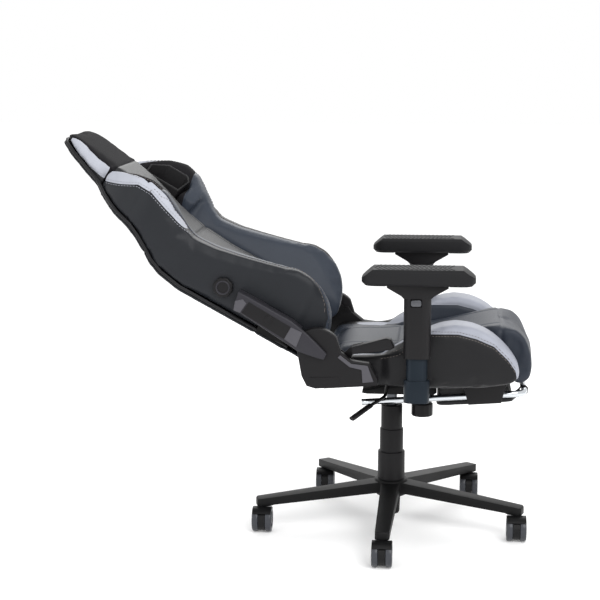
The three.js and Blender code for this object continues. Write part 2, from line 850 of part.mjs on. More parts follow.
for (const [name, side] of Object.entries(SIDES)) {
  piece(`footrest_guide_${name}`, footrestGuide(side), PLASTIC, pan);
}
piece('footrest_frame', footrestFrame(), CHROME, pan);
piece('footrest_pad', footrestPad(), SIDE_LEATHER, pan);

// ---- Armrests -----------------------------------------------------------------------------------
const oval = ([length, width], grow = 0) =>
  roundRectangle(length + 2 * grow, width + 2 * grow, width / 2 + grow - 0.5, 4);

function armPost(side) {
  const y = side * ARMREST_Y;
  const half = ARM_SOCKET_SIZE[0] / 2 - 2;
  const under = (x) => PAN_HEIGHT + x * Math.tan(tilt) - GAP;
  const bracket = box(POST_X - half, POST_X + half, side * 112, y, BRACKET_TOP - 8, BRACKET_TOP);
  const spacer = prism(
    [
      [POST_X - half, BRACKET_TOP - 2],
      [POST_X + half, BRACKET_TOP - 2],
      [POST_X + half, under(POST_X + half)],
      [POST_X - half, under(POST_X - half)],
    ],
    side * 112,
    side * (panHalf - 6),
  );
  const socket = slab(shifted(oval(ARM_SOCKET_SIZE), POST_X, y), ARM_SOCKET_BOTTOM, ARM_SOCKET_TOP);
  const post = slab(shifted(oval(POST_SIZE), POST_X, y), ARM_SOCKET_TOP - 5, POST_TOP);
  return join(bracket, spacer, socket, post);
}

function armSleeve(side) {
  const y = side * ARMREST_Y;
  const tube = slab(shifted(oval(SLEEVE_SIZE), POST_X, y), SLEEVE_BOTTOM, SLEEVE_TOP + 2);
  const half = SLEEVE_SIZE[0] / 2;
  const flare = prism(
    [
      [POST_X - half, SLEEVE_TOP - 3],
      [POST_X - half - 6, SLEEVE_TOP + 3],
      [POST_X - FLARE_LENGTH / 2, FLARE_TOP - 6],
      [POST_X - FLARE_LENGTH / 2, FLARE_TOP],
      [POST_X + FLARE_LENGTH / 2, FLARE_TOP],
      [POST_X + FLARE_LENGTH / 2, FLARE_TOP - 6],
      [POST_X + half + 6, SLEEVE_TOP + 3],
      [POST_X + half, SLEEVE_TOP - 3],
    ],
    y - SLEEVE_SIZE[1] / 2,
    y + SLEEVE_SIZE[1] / 2,
  );
  const bore = slab(shifted(oval(POST_SIZE, 2 * GAP), POST_X, y), SLEEVE_BOTTOM - 5, POST_TOP + 52);
  const outerFace = y + (side * SLEEVE_SIZE[1]) / 2;
  const buttonRoom = box(
    POST_X - 16,
    POST_X + 10,
    outerFace - side * 4.2,
    outerFace + side * 5,
    606,
    624,
  );
  return cut(join(tube, flare), bore, buttonRoom);
}

function armButton(side) {
  const outerFace = side * (ARMREST_Y + SLEEVE_SIZE[1] / 2);
  const outline = shifted(roundRectangle(24, 15, 5), POST_X - 3, 615);
  return prism(outline, outerFace, outerFace + side * 3.5, 0.8);
}

function armPad(side) {
  const y = side * ARMREST_Y;
  const bottom = FLARE_TOP + 1;
  const outline = shifted(roundRectangle(PAD_LENGTH, PAD_WIDTH, 30, 4), PAD_X, y);
  const tray = slab(outline, bottom, bottom + PAD_HEIGHT, 7);
  const ends = prism(
    [
      [PAD_X - PAD_LENGTH / 2, bottom],
      [PAD_X - PAD_LENGTH / 2, bottom + 17],
      [PAD_X - PAD_LENGTH / 2 + 26, bottom + PAD_HEIGHT],
      [PAD_X + PAD_LENGTH / 2 - 28, bottom + PAD_HEIGHT],
      [PAD_X + PAD_LENGTH / 2, bottom + 18],
      [PAD_X + PAD_LENGTH / 2, bottom],
    ],
    y - PAD_WIDTH,
    y + PAD_WIDTH,
  );
  const [length, width, depth] = PAD_POCKET;
  const pocket = slab(shifted(roundRectangle(length, width, 6), POST_X, y), bottom - 5, bottom + depth);
  return cut(common(tray, ends), pocket);
}

for (const [name, side] of Object.entries(SIDES)) {
  const y = side * ARMREST_Y;
  const discTop = TURNTABLE_THICKNESS - 1;
  const disc = turned(
    [[0, 0], [TURNTABLE_RADIUS, 0], [TURNTABLE_RADIUS, discTop], [0, discTop]],
    24,
  );
  const slide = slab(shifted(roundRectangle(SLIDE_SIZE[0], SLIDE_SIZE[1], 4), POST_X, y), 0, SLIDE_SIZE[2]);
  piece(`arm_post_${name}`, armPost(side), POST_METAL);
  piece(`arm_sleeve_${name}`, armSleeve(side), PLASTIC);
  piece(`arm_button_${name}`, armButton(side), STEEL);
  piece(`arm_turntable_${name}`, disc.translate(POST_X, y, FLARE_TOP + GAP), PLASTIC);
  piece(`arm_slide_${name}`, slide.translate(0, 0, FLARE_TOP + TURNTABLE_THICKNESS), STEEL);
  piece(`arm_pad_${name}`, armPad(side), ARM_FOAM);
}

// ---- Backrest: built lying down, with its top towards -x, then turned up about the hinge --------
const back = group(chair, [HINGE_X, 0, HINGE_Z], degrees(RECLINE));
const lying = (points) => points.map(([u, v]) => [-u, v]);

// the shell's rear face, from the seat end to the top
const REAR_LINE = [
  [22, -46],
  [105, -46],
  [281, -51],
  [357, -53],
  [412, -45],
  [446, -31],
  [473, -13],
  [500, 3],
  [530, 17],
  [573, 24],
  [635, 36],
  [697, 54],
  [763, 75],
  [790, 84],
];
const raised = (line, height) => line.map(([u, v]) => [u, v + height]);

function backWidthAt(edge) {
  // half-widths of the whole back seen from the front: seat end, waist, shoulders, neck, head
  return [
    [-14, 232],
    [58, 234],
    [80, 245],
    [300, 245],
    [400, 246],
    [470, 256],
    [530, 260],
    [580, 240],
    [625, 190],
    [660, BACK_PAD_WIDTH / 2 + 7],
    [700, 132],
    [750, 122],
    [785, 98],
    [801, 66],
  ].map(([u, y]) => [u, y + edge]);
}

function backPlan(edge) {
  const right = backWidthAt(edge);
  return lying([...right, ...right.map(([u, y]) => [u, -y]).reverse()]);
}

const HOLE = [
  [HOLE_BOTTOM + 10, BACK_PAD_WIDTH / 2 + 1],
  [HOLE_BOTTOM, HOLE_OUTER - 14],
  [HOLE_BOTTOM + 12, HOLE_OUTER],
  [HOLE_BOTTOM + 70, HOLE_OUTER],
  [HOLE_TOP, HOLE_OUTER - 28],
  [HOLE_TOP, BACK_PAD_WIDTH / 2 + 1],
];
// The harness opening's outline, shrunk towards its middle by the given amount.
function holePlan(side, inset) {
  const middle = [
    HOLE.reduce((sum, p) => sum + p[0], 0) / HOLE.length,
    HOLE.reduce((sum, p) => sum + p[1], 0) / HOLE.length,
  ];
  const half = [(HOLE_TOP - HOLE_BOTTOM) / 2, (HOLE_OUTER - BACK_PAD_WIDTH / 2) / 2];
  return lying(
    HOLE.map(([u, y]) => [
      middle[0] + (u - middle[0]) * (1 - inset / half[0]),
      side * (middle[1] + (y - middle[1]) * (1 - inset / half[1])),
    ]),
  );
}

function backShell() {
  const side = prism(
    lying([...REAR_LINE, ...raised(REAR_LINE, SHELL_THICKNESS).reverse()]),
    -300,
    300,
  );
  const holes = Object.values(SIDES).map((s) => slab(holePlan(s, 0), -200, 200));
  return cut(common(side, slab(backPlan(-2), -200, 200)), ...holes);
}

// the underside of the foam over the steel frame
const FOAM_LINE = raised(REAR_LINE, FRAME_ROOM);
const SKIN_LINE = raised(REAR_LINE, SHELL_THICKNESS + GAP);

const WING_FRONT = [
  [650, 98],
  [628, 108],
  [583, 132],
  [541, 144],
  [495, 136],
  [455, 113],
  [417, 93],
  [384, 81],
  [330, 87],
  [265, 103],
  [200, 121],
  [135, 140],
  [99, 139],
  [57, 125],
  [27, 103],
  [8, 77],
  [-4, 50],
  [-12, 20],
  [0, -16],
];

const backPadEdge = [
  [-30, BACK_PAD_WAIST / 2],
  [400, BACK_PAD_WAIST / 2],
  [470, BACK_PAD_WIDTH / 2],
  [651, BACK_PAD_WIDTH / 2],
];

// half the width of the steel hoop's route, at places along the back
const FRAME_ROUTE = [
  [24, FRAME_Y],
  [200, FRAME_Y],
  [357, FRAME_Y - 2],
  [412, 174],
  [455, 140],
  [500, 112],
  [573, FRAME_NECK_Y],
  [635, FRAME_NECK_Y - 2],
  [690, 84],
  [706, 46],
  [710, 0],
];
const FRAME_CLEAR = 1.3 * FRAME_RADIUS + 1.7; // across the tube where it runs aslant
const FRAME_BEND = 640; // above here the hoop turns in over the head
const HEAD_START = 652;

// The space under the foam that the hoop lies in.
function frameRoom() {
  const under = prism(
    lying([
      [-60, -120],
      [22, REAR_LINE[0][1] + FRAME_ROOM - 5],
      ...FOAM_LINE.filter(([u]) => u > 22 && u < 735),
      [740, 90],
      [740, -120],
    ]),
    -300,
    300,
  );
  const half = [
    [-60, FRAME_Y + FRAME_CLEAR],
    ...FRAME_ROUTE.map(([u, y]) => [u + (u > FRAME_BEND ? FRAME_CLEAR : 0), y + FRAME_CLEAR]),
  ];
  return common(under, slab(lying([...half, ...half.map(([u, y]) => [u, -y]).reverse()]), -200, 300));
}

// A cross-section in y and v, carried along the back from u = from to u = to.
function channel(section, from, to) {
  const shape = new THREE.Shape(section.map(([y, v]) => new THREE.Vector2(y, v)));
  const geometry = new THREE.ExtrudeGeometry(shape, { depth: to - from, bevelEnabled: false });
  const [alongY, alongZ, alongX] = [[0, 1, 0], [0, 0, 1], [1, 0, 0]].map(
    (axis) => new THREE.Vector3(...axis),
  );
  return geometry
    .applyMatrix4(new THREE.Matrix4().makeBasis(alongY, alongZ, alongX))
    .translate(-to, 0, 0);
}

const CROSS_U = 120; // where the lower cross tube joins the recliner arms
const frameLift = SHELL_THICKNESS + FRAME_RADIUS + 5;
const rearAt = (u) => {
  const n = Math.max(1, REAR_LINE.findIndex(([at]) => at >= u));
  const [[u0, v0], [u1, v1]] = [REAR_LINE[n - 1], REAR_LINE[n]];
  return v0 + ((v1 - v0) * (u - u0)) / (u1 - u0);
};

// The hollow side of a bolster or wing: everything above a slope from the pad up to the crest.
const scoop = (side, base, crest, from, to) =>
  channel(
    [[base[0] - 40, base[1]], base, crest, [crest[0], 400], [base[0] - 40, 400]].map(([y, v]) => [
      side * y,
      v,
    ]),
    from,
    to,
  );

function backWing(side) {
  const lower = SKIN_LINE.filter(([u]) => u > 25 && u < 650);
  const top = [650, rearAt(650) + SHELL_THICKNESS + GAP];
  const body = prism(lying([[30, -37], ...lower, top, ...WING_FRONT]), side * 120, side * 262, 6);
  const plan = slab(
    lying([
      ...backWidthAt(0).filter(([u]) => u < 652),
      [651, BACK_PAD_WIDTH / 2 + 12],
      ...backPadEdge.map(([u, y]) => [u, y + 1.5]).reverse(),
    ]).map(([x, y]) => [x, y * side]),
    -200,
    200,
  );
  const crossV = rearAt(CROSS_U) + frameLift;
  const crossRoom = bar([-CROSS_U, side * 180, crossV], [-CROSS_U, side * 262, crossV], FRAME_RADIUS + 3, 12);
  const hole = slab(holePlan(side, 0), -200, 300);
  const hingeRoom = prism(
    lying([[-60, -70], [-60, 36], [6, 36], [20, 20], [20, -70]]),
    side * 225,
    side * 265,
  );
  const scoops = [
    scoop(side, [150, 46], [214, 152], -60, 455),
    scoop(side, [BACK_PAD_WIDTH / 2 + 1, 84], [236, 152], 445, 700),
  ];
  const tools = [frameRoom(), crossRoom, hole, hingeRoom, ...scoops];
  if (side < 0) {
    tools.push(bar([-LUMBAR_U, -262, LUMBAR_V], [-LUMBAR_U, -224, LUMBAR_V], 4 + 2 * GAP));
  }
  return cut(common(body, plan), ...tools);
}

const BACK_PAD_FRONT = [
  [802, 98],
  [790, 110],
  [762, 113],
  [702, 107],
  [640, 101],
  [580, 92],
  [520, 75],
  [460, 56],
  [400, 43],
  [320, 40],
  [220, 44],
  [120, 45],
  [45, 36],
  [4, 18],
];

function backPad() {
  const foam = [[22, REAR_LINE[0][1] + FRAME_ROOM - 2], ...FOAM_LINE.filter(([u]) => u > 25 && u < 735)];
  const side = prism(lying([...foam, [740, 90], [792, 94], ...BACK_PAD_FRONT]), -260, 260);
  const edge = [...backPadEdge, [652, BACK_PAD_WIDTH / 2 + 6], ...backWidthAt(0).filter(([u]) => u > 660)];
  const plan = slab(lying([...edge, ...edge.map(([u, y]) => [u, -y]).reverse()]), -200, 200);
  // the head section is closed down to the shell all round the hoop
  const head = prism(
    lying([
      [HEAD_START, rearAt(HEAD_START) + SHELL_THICKNESS + GAP],
      ...SKIN_LINE.filter(([u]) => u > HEAD_START),
      [792, 94],
      ...BACK_PAD_FRONT.filter(([u]) => u > HEAD_START),
      [HEAD_START, 102],
    ]),
    -260,
    260,
  );
  return join(common(side, plan), cut(common(head, plan), frameRoom()));
}

// One hoop of steel tube with two cross tubes, a recliner arm and a hinge pin on each side.
function backFrame() {
  const otherHalf = FRAME_ROUTE.slice(0, -1).map(([u, y]) => [u, -y]).reverse();
  const route = [...FRAME_ROUTE, ...otherHalf];
  const curve = new THREE.CatmullRomCurve3(
    route.map(([u, y]) => new THREE.Vector3(-u, y, rearAt(u) + frameLift)),
    false,
    'centripetal',
  );
  const hoop = bent(curve, FRAME_RADIUS, 44, 8);
  const cross = (u, reach) => {
    const v = rearAt(u) + frameLift;
    return bar([-u, -reach, v], [-u, reach, v], FRAME_RADIUS, 12);
  };
  const armInner = BRACKET_Y + PLATE_THICKNESS + 2.5;
  const arms = Object.values(SIDES).flatMap((side) => [
    prism(
      lying([...arc(0, 0, 22, 90, 270, 8), [60, -22], [104, -37], [148, -37], [152, 8], [60, 20]]),
      side * armInner,
      side * (armInner + PLATE_THICKNESS),
    ),
    bar(
      [0, side * (BRACKET_Y - 6), 0],
      [0, side * (armInner + PLATE_THICKNESS + 5), 0],
      HINGE_PIN_RADIUS,
      20,
    ),
  ]);
  return join(hoop, cross(CROSS_U, armInner + 2), cross(350, FRAME_Y), ...arms);
}

// The lining of a harness opening, from the shell's rear face to the front of the foam.
function harnessTrim(side) {
  const tube = cut(slab(holePlan(side, 2 * GAP), -200, 300), slab(holePlan(side, TRIM_WALL), -210, 310));
  const depth = prism(
    lying([
      ...REAR_LINE.filter(([u]) => u > 470 && u < 640).map(([u, v]) => [u, v - 2]),
      [640, 190],
      [470, 190],
    ]),
    -300,
    300,
  );
  const above = scoop(side, [BACK_PAD_WIDTH / 2 + 1, 87], [236, 155], 400, 700);
  return cut(common(tube, depth), above);
}

const ARM_COVER = [
  [221, -5],
  [229, 29],
  [199, 31],
  [87, 34],
  [43, 27],
  [14, 20],
  [-21, 10],
  [-22, -6],
  [2, -13],
  [40, -20],
  [198, -12],
];

// A casing over the recliner arm, whose tongue lies over the hinge cover.
function armCover(side) {
  const beyond = (u) =>
    prism(lying([[u, -60], [u, 60], [260, 60], [260, -60]]), side * 200, side * 300);
  const outline = lying(ARM_COVER);
  const tongue = prism(outline, side * (HINGE_COVER_OUTER + 1), side * ARM_COVER_OUTER, 2);
  const casing = prism(outline, side * HINGE_COVER_INNER, side * (ARM_COVER_OUTER - 3));
  const rear = prism(outline, side * (BRACKET_Y + 7.5), side * HINGE_COVER_OUTER);
  return join(
    tongue,
    common(casing, beyond(HINGE_COVER_RADIUS + 3)),
    common(rear, beyond(158)),
  );
}

function lumbarKnob() {
  const corners = 24;
  const outline = Array.from({ length: corners }, (_, i) => {
    const angle = (i / corners) * 2 * Math.PI;
    const radius = LUMBAR_RADIUS - (i % 3 === 2 ? 2.2 : 0);
    return [radius * Math.cos(angle), radius * Math.sin(angle)];
  });
  const grip = prism(outline, -246, -262, 2);
  const shaft = bar([0, -250, 0], [0, -228, 0], 4);
  return join(grip, shaft).translate(-LUMBAR_U, 0, LUMBAR_V);
}

piece('back_shell', backShell(), SIDE_LEATHER, back);
piece('back_frame', backFrame(), STEEL, back);
piece('back_pad', backPad(), CENTRE_LEATHER, back);
for (const [name, side] of Object.entries(SIDES)) {
  piece(`back_wing_${name}`, backWing(side), SIDE_LEATHER, back);
  piece(`harness_trim_${name}`, harnessTrim(side), PLASTIC, back);
  piece(`arm_cover_${name}`, armCover(side), GREY_PLASTIC, back);
}
piece('lumbar_knob', lumbarKnob(), PLASTIC, back);

export default chair;
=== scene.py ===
import json
import math

import bmesh
import bpy
from mathutils import Matrix, Vector
from mathutils.bvhtree import BVHTree


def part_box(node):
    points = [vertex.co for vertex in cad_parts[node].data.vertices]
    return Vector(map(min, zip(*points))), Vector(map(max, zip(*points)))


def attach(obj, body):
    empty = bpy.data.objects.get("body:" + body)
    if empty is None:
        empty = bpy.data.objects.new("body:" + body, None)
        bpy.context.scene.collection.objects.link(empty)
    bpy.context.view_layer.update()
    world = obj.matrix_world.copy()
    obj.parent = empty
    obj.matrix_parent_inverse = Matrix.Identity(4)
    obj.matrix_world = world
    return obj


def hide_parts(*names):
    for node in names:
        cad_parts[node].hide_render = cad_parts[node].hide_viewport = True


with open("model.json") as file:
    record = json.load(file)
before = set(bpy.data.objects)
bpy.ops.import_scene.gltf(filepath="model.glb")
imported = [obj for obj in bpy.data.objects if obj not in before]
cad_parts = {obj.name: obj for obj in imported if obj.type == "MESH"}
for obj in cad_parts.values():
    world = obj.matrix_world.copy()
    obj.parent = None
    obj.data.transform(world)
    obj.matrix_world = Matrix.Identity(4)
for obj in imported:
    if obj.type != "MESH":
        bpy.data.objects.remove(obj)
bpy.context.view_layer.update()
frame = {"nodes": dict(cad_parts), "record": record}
nodes = frame["nodes"]
joints = {joint["name"]: joint for joint in frame["record"]["behaviour"]["joints"]}
SIDES = {"right": -1, "left": 1}

# ---- Sizes, in millimetres unless they say otherwise ----
MM = 0.001
COLUMN = Vector((*joints["seat_swivel"]["pos_m"][:2], 0))
HINGE = Vector(joints["back_recline"]["pos_m"])
RECLINE = math.radians(30.4)
BACK_UP = Vector((-math.cos(RECLINE), 0, math.sin(RECLINE)))
BACK_OUT = Vector((math.sin(RECLINE), 0, math.cos(RECLINE)))
WHEEL_RADIUS = 30
WHEEL_INNER = 8.8
WHEEL_WIDTH = 15.2
AXLE_RADIUS = 3
CLOTH_FRAMES = 20
GLOSS_WEAR = 0.06  # how far handling moves the roughness up and down
FAR = 60  # a distance from a seam or panel edge that counts as far away
HINGE_FACE = 278  # outer faces of the hinge cover and of the arm cover, from the middle
ARM_COVER_FACE = 290

# the back's white stripe: its lower edge, as height v over the place u along the back
STRIPE_EDGE = [(384, 80), (433, 89), (491, 109), (521, 119), (560, 117), (603, 90),
               (648, 66), (734, 74), (780, 83)]
# half the width between the crests of the bolsters and wings
CREST = [(0, 235), (100, 220), (270, 220), (384, 200), (417, 210), (455, 236), (495, 250), (541, 250),
         (583, 222), (628, 162), (656, 125), (702, 120), (763, 100), (787, 90)]
# the seat's grey stripe: its lower edge, as height over the place from back to front
SEAT_STRIPE_EDGE = [(-160, 476), (-28, 474), (22, 488), (60, 513), (90, 534), (161, 535), (202, 525),
                    (244, 507), (278, 474), (295, 449), (300, 420)]
SUEDE_FROM = 640  # place along the back where the head section's suede starts
WING_SUEDE_FROM = 470
# the edge where the rear cover meets the sides: place along the back, half-width, height
REAR_EDGE = [
    (66, 238, -34), (110, 244, -34), (281, 244, -39), (357, 244, -41), (412, 246, -33), (446, 251, -19),
    (473, 255, -1), (500, 257, 15), (530, 258, 29), (573, 243, 36), (600, 219, 41), (625, 190, 46),
    (645, 162, 51), (665, 141, 57), (700, 132, 67), (750, 122, 83), (779, 98, 90), (788, 66, 92),
    (790, 0, 92),
]


def from_column(x, y, z):
    return COLUMN + Vector((x, y, z)) * MM


def on_back(u, y, v):
    return HINGE + (BACK_UP * u + BACK_OUT * v + Vector((0, y, 0))) * MM


def back_place(point):
    away = (point - HINGE) / MM
    return away.dot(BACK_UP), away.y, away.dot(BACK_OUT)


def seat_place(point):
    away = (point - COLUMN) / MM
    return away.x, away.y, away.z


def along(line, at):
    if at <= line[0][0]:
        return line[0][1]
    for (a, low), (b, high) in zip(line, line[1:]):
        if at <= b:
            return low + (high - low) * (at - a) / (b - a)
    return line[-1][1]


# ---- Camera, floor and light ----
camera_data = bpy.data.cameras.new("camera")
camera_data.lens = 90.2
camera_data.sensor_width = 36
camera = bpy.data.objects.new("camera", camera_data)
camera.location = (0.353, -3.6767, 1.1914)
camera.rotation_euler = (math.pi / 2 - 0.1664, 0, 0.0956)
bpy.context.collection.objects.link(camera)
bpy.context.scene.camera = camera


def linear(hex_colour):
    parts = [int(hex_colour[i:i + 2], 16) / 255 for i in (1, 3, 5)]
    return [p / 12.92 if p <= 0.04045 else ((p + 0.055) / 1.055) ** 2.4 for p in parts] + [1]


def soft_light(name, place, size, watts):
    data = bpy.data.lights.new(name, "AREA")
    data.size = size
    data.energy = watts
    lamp = bpy.data.objects.new(name, data)
    lamp.location = place
    lamp.rotation_euler = (Vector((0, 0, 0.5)) - Vector(place)).to_track_quat("-Z", "Y").to_euler()
    bpy.context.collection.objects.link(lamp)


soft_light("key", (1.6, -2.6, 2.8), 2.2, 75)
soft_light("fill", (-2.4, -2.2, 1.6), 2.5, 20)
soft_light("back_light", (0.2, 2.6, 2.6), 2.5, 45)
world = bpy.data.worlds.new("studio")
world.use_nodes = True
world.node_tree.nodes["Background"].inputs["Color"].default_value = (1, 1, 1, 1)
world.node_tree.nodes["Background"].inputs["Strength"].default_value = 1.0
bpy.context.scene.world = world
bpy.context.scene.view_settings.view_transform = "Standard"


# ---- Materials ----
def add(tree, kind, settings=None, **sockets):
    """Adds a node, sets its properties, and sets or links each named input."""
    made = tree.nodes.new(kind)
    for key, value in (settings or {}).items():
        setattr(made, key, value)
    for key, value in sockets.items():
        index = int(key[1:]) if key[1:].isdigit() else key.replace("_", " ")
        socket = made.inputs[index]
        if isinstance(value, bpy.types.NodeSocket):
            tree.links.new(value, socket)
        else:
            socket.default_value = value
    return made


def plain(name, colour, roughness, metallic=0.0, grain_mm=0.8, depth=0.05, coat=0.0):
    """A moulded, painted or machined surface with fine grain and slight wear in its gloss."""
    material = bpy.data.materials.new(name)
    material.use_nodes = True
    tree = material.node_tree
    shader = tree.nodes["Principled BSDF"]
    shader.inputs["Metallic"].default_value = metallic
    shader.inputs["Coat Weight"].default_value = coat
    shader.inputs["Specular IOR Level"].default_value = 0.2
    place = add(tree, "ShaderNodeTexCoord").outputs["Object"]
    grain = add(tree, "ShaderNodeTexNoise", Vector=place, Scale=1 / (grain_mm * MM), Detail=2.0)
    smudge = add(tree, "ShaderNodeTexNoise", Vector=place, Scale=14.0, Detail=4.0)
    gloss = add(tree, "ShaderNodeMapRange", Value=smudge.outputs["Fac"],
                To_Min=roughness - GLOSS_WEAR, To_Max=roughness + GLOSS_WEAR)
    dark = [c * 0.85 for c in linear(colour)[:3]] + [1]
    tone = add(tree, "ShaderNodeMix", {"data_type": "RGBA"},
               i0=smudge.outputs["Fac"], i6=dark, i7=linear(colour))
    bump = add(tree, "ShaderNodeBump", Strength=depth, Distance=grain_mm * MM, Height=grain.outputs["Fac"])
    tree.links.new(tone.outputs[2], shader.inputs["Base Color"])
    tree.links.new(gloss.outputs[0], shader.inputs["Roughness"])
    tree.links.new(bump.outputs[0], shader.inputs["Normal"])
    return material


def upholstery(name, ground, inner, stripe, suede, grain_mm=3.2):
    """Synthetic leather in sewn panels; each panel's reach is stored on the piece as a distance in mm.
    Real grain is about 1 mm; it is drawn three times as coarse so that it shows."""
    material = bpy.data.materials.new(name)
    material.use_nodes = True
    tree = material.node_tree
    shader = tree.nodes["Principled BSDF"]
    shader.inputs["Specular IOR Level"].default_value = 0.2
    place = add(tree, "ShaderNodeTexCoord").outputs["Object"]
    colour = linear(ground)
    masks = {}
    for panel, tint in (("inner_mm", inner), ("suede_mm", suede), ("stripe_mm", stripe)):
        reach = add(tree, "ShaderNodeAttribute", {"attribute_name": panel})
        inside = add(tree, "ShaderNodeMath", {"operation": "GREATER_THAN"}, i0=reach.outputs["Fac"], i1=0.0)
        masks[panel] = inside.outputs[0]
        mixed = add(tree, "ShaderNodeMix", {"data_type": "RGBA"}, i0=masks[panel], i6=colour, i7=linear(tint))
        colour = mixed.outputs[2]
    mottle = add(tree, "ShaderNodeTexNoise", Vector=place, Scale=22.0, Detail=5.0)
    shade = add(tree, "ShaderNodeMapRange", Value=mottle.outputs["Fac"], To_Min=0.86, To_Max=1.1)
    toned = add(tree, "ShaderNodeVectorMath", {"operation": "SCALE"}, i0=colour, i3=shade.outputs[0])
    cells = add(tree, "ShaderNodeTexVoronoi", {"feature": "DISTANCE_TO_EDGE"},
                Vector=place, Scale=1 / (grain_mm * MM))
    crease = add(tree, "ShaderNodeMapRange", Value=cells.outputs["Distance"], From_Max=0.15)
    bump = add(tree, "ShaderNodeBump", Strength=0.18, Distance=0.0004, Height=crease.outputs[0])
    rough = add(tree, "ShaderNodeMix", {"data_type": "FLOAT"}, i0=masks["suede_mm"], i2=0.44, i3=0.9)
    tree.links.new(toned.outputs[0], shader.inputs["Base Color"])
    tree.links.new(rough.outputs[0], shader.inputs["Roughness"])
    tree.links.new(bump.outputs[0], shader.inputs["Normal"])
    return material


# powder-coated steel: dark satin with a slight orange peel
powder_coat = plain("powder_coated_steel", "#0b0b0c", 0.5, 0.1, 1.5, 0.08)
painted_steel = plain("painted_steel", "#0e0e0f", 0.5, 0.3, 1.5, 0.05)
ground_steel = plain("ground_steel", "#5c5e62", 0.38, 1.0, 0.6, 0.03)
# chrome plate on tube: mirror-like, slightly blue
chrome = plain("chrome_plate", "#d4d8dc", 0.09, 1.0, 6, 0.005)
post_paint = plain("blue_grey_satin_paint", "#1a222a", 0.38, 0.4, 1.0, 0.03)
satin_steel = plain("satin_steel_button", "#5c5d61", 0.32, 1.0, 0.5, 0.03)
# moulded nylon and ABS: fine spark-eroded grain
black_plastic = plain("grained_abs", "#121113", 0.46, 0.0, 0.9, 0.12)
grey_plastic = plain("satin_grey_abs", "#2c2b30", 0.4, 0.0, 0.9, 0.08)
# mid grey ABS for the hinge cover rims; on the arm cover's facets the same pale grey is a painted highlight
pale_plastic_and_highlight = plain("mid_grey_abs_and_painted_highlight", "#4c4b50", 0.4, 0.0, 0.9, 0.06)
nylon = plain("black_nylon", "#101011", 0.4, 0.0, 1.0, 0.08)
# cast polyurethane: smoky grey and waxy
wheel_rubber = plain("cast_polyurethane", "#3a3c41", 0.36, 0.0, 2, 0.03, coat=0.2)
arm_foam = plain("integral_skin_polyurethane", "#151517", 0.6, 0.0, 1.0, 0.15)
thread = plain("twisted_polyester_thread", "#6b6460", 0.8, 0.0, 0.4, 0.2)
pale_thread = plain("pale_polyester_thread", "#9c9ea6", 0.8, 0.0, 0.4, 0.2)
back_leather = upholstery("panelled_back_leather", "#1d1f23", "#323842", "#a8abb4", "#141316")
centre_leather = upholstery("panelled_centre_leather", "#1f2022", "#1f2022", "#a8abb4", "#141316")
seat_leather = upholstery("panelled_seat_leather", "#141416", "#2a2f38", "#9598a2", "#141316")
footrest_leather = upholstery("footrest_leather", "#19191b", "#19191b", "#19191b", "#19191b")
# matt white paper: lifted a little so that it meets the white surroundings without a line
floor_paint = bpy.data.materials.new("white_paper_floor")
floor_paint.use_nodes = True
paper = floor_paint.node_tree.nodes["Principled BSDF"].inputs
paper["Base Color"].default_value = linear("#fafafa")
paper["Roughness"].default_value = 1.0
paper["Specular IOR Level"].default_value = 0.0
paper["Emission Color"].default_value = (1, 1, 1, 1)
paper["Emission Strength"].default_value = 0.12

ground = bmesh.new()
bmesh.ops.create_grid(ground, x_segments=1, y_segments=1, size=20)
floor_mesh = bpy.data.meshes.new("floor")
ground.to_mesh(floor_mesh)
floor = bpy.data.objects.new("floor", floor_mesh)
floor.data.materials.append(floor_paint)
bpy.context.collection.objects.link(floor)


# ---- Making pieces ----
def piece(name, shape, material, body, replaced=()):
    """Turns a bmesh into a finished piece that rides on a body."""
    mesh = bpy.data.meshes.new(name)
    shape.to_mesh(mesh)
    shape.free()
    for face in mesh.polygons:
        face.use_smooth = True
    mesh.set_sharp_from_angle(angle=math.radians(38))
    made = bpy.data.objects.new(name, mesh)
    made.data.materials.append(material)
    bpy.context.collection.objects.link(made)
    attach(made, body)
    if replaced:
        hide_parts(*replaced)
    return made


def node_shape(node):
    shape = bmesh.new()
    shape.from_mesh(nodes[node].data)
    bmesh.ops.remove_doubles(shape, verts=shape.verts, dist=1e-5)
    return shape


def softened(node, radius, sharpest=28):
    """A node's own shape with its hard edges rounded."""
    shape = node_shape(node)
    bmesh.ops.dissolve_limit(shape, angle_limit=math.radians(1.5), verts=shape.verts, edges=shape.edges)
    folded = [edge for edge in shape.edges if len(edge.link_faces) == 2]
    hard = [edge for edge in folded if edge.calc_face_angle(0) > math.radians(sharpest)]
    bmesh.ops.bevel(shape, geom=hard, offset=radius * MM, offset_type="OFFSET", segments=2, profile=0.5,
                    affect="EDGES", clamp_overlap=True, material=-1)
    return shape


def plate(outline, low, high, bevel):
    """An outline in x and z, given from the column, made a plate from y = low to y = high."""
    shape = bmesh.new()
    rim = [shape.verts.new(from_column(x, low, z)) for x, z in outline]
    face = shape.faces.new(rim)
    raised = bmesh.ops.extrude_face_region(shape, geom=[face])["geom"]
    moved = [g for g in raised if isinstance(g, bmesh.types.BMVert)]
    bmesh.ops.translate(shape, verts=moved, vec=(0, (high - low) * MM, 0))
    bmesh.ops.bevel(shape, geom=shape.edges[:], offset=bevel * MM, offset_type="OFFSET", segments=3,
                    profile=0.5, affect="EDGES", clamp_overlap=True, material=-1)
    bmesh.ops.recalc_face_normals(shape, faces=shape.faces)
    return shape


